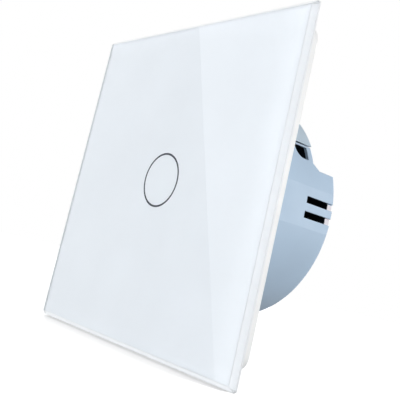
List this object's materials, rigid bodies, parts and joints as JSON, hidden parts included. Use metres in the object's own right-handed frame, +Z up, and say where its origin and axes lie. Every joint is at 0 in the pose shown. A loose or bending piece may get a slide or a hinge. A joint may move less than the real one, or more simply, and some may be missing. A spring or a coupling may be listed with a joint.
{
  "type": "touch light switch",
  "caption": "Square glass touch panel with a printed ring, clipped over a steel wall plate, with a round vented wall-box housing and screw terminals behind it.",
  "frame": {"origin": "centre of the wall plane, midway between the two wall-box screws, on the back face of the mounting plate", "axes": "+X right and +Z up as seen from the room, +Y into the wall"},
  "size_m": [0.08, 0.0325, 0.08],
  "materials": {
    "glass": "polished",
    "white_print": "opaque white print",
    "ring_print": "dark grey print",
    "adhesive": "adhesive foam",
    "white_plastic": "moulded",
    "zinc_steel": "zinc plated",
    "screw_steel": "zinc plated",
    "blue_plastic": "moulded, satin",
    "cover_plastic": "moulded",
    "clear_plastic": "frosted",
    "spring_steel": "bright wire",
    "circuit_board": "solder mask",
    "lamp_plastic": "moulded",
    "chip_plastic": "moulded",
    "passive_ceramic": "ceramic",
    "connector_plastic": "moulded",
    "relay_plastic": "moulded",
    "film_plastic": "moulded",
    "can_aluminium": "sleeved",
    "varistor_coat": "dipped",
    "resistor_coat": "dipped",
    "block_plastic": "moulded, satin",
    "brass": "bright",
    "cage_steel": "zinc plated"
  },
  "bodies": {
    "base": {"mounting_plate": "zinc_steel", "plate_screws": "screw_steel", "base_housing": "blue_plastic", "touch_cover": "cover_plastic", "light_guide": "clear_plastic", "touch_spring": "spring_steel", "touch_board": "circuit_board", "indicator_leds": "lamp_plastic", "touch_chip": "chip_plastic", "chip_passives": "passive_ceramic", "board_header": "connector_plastic", "board_socket": "connector_plastic", "power_board": "circuit_board", "relay": "relay_plastic", "film_capacitor": "film_plastic", "smoothing_capacitor": "can_aluminium", "bridge_rectifier": "chip_plastic", "varistor": "varistor_coat", "fuse_resistor": "resistor_coat", "terminal_block": "block_plastic", "terminal_strips": "brass"},
    "panel": {"glass_panel": "glass", "back_print": "white_print", "touch_ring": "ring_print", "panel_tape": "adhesive", "panel_frame": "white_plastic"},
    "cage_left": {"terminal_cage_left": "cage_steel"},
    "cage_middle": {"terminal_cage_middle": "cage_steel"},
    "cage_right": {"terminal_cage_right": "cage_steel"},
    "screw_left": {"terminal_screw_left": "screw_steel"},
    "screw_middle": {"terminal_screw_middle": "screw_steel"},
    "screw_right": {"terminal_screw_right": "screw_steel"}
  },
  "joints": [
    {"name": "panel_pull", "type": "slide", "parent": "base", "child": "panel", "axis": [0, -1, 0], "range_m": [0, 0.02]},
    {"name": "screw_left_turn", "type": "hinge", "parent": "base", "child": "screw_left", "pos_m": [-0.009, 0.015, 0.0203], "axis": [0, -1, 0], "range_deg": [0, 1800]},
    {"name": "screw_middle_turn", "type": "hinge", "parent": "base", "child": "screw_middle", "pos_m": [0, 0.015, 0.0203], "axis": [0, -1, 0], "range_deg": [0, 1800]},
    {"name": "screw_right_turn", "type": "hinge", "parent": "base", "child": "screw_right", "pos_m": [0.009, 0.015, 0.0203], "axis": [0, -1, 0], "range_deg": [0, 1800]},
    {"name": "cage_left_rise", "type": "slide", "parent": "base", "child": "cage_left", "axis": [0, 1, 0], "range_m": [0, 0.0025]},
    {"name": "cage_middle_rise", "type": "slide", "parent": "base", "child": "cage_middle", "axis": [0, 1, 0], "range_m": [0, 0.0025]},
    {"name": "cage_right_rise", "type": "slide", "parent": "base", "child": "cage_right", "axis": [0, 1, 0], "range_m": [0, 0.0025]}
  ],
  "couplings": [
    {"joint": "screw_left_turn", "follows": "cage_left_rise", "rad_per_m": 12566},
    {"joint": "screw_middle_turn", "follows": "cage_middle_rise", "rad_per_m": 12566},
    {"joint": "screw_right_turn", "follows": "cage_right_rise", "rad_per_m": 12566}
  ]
}
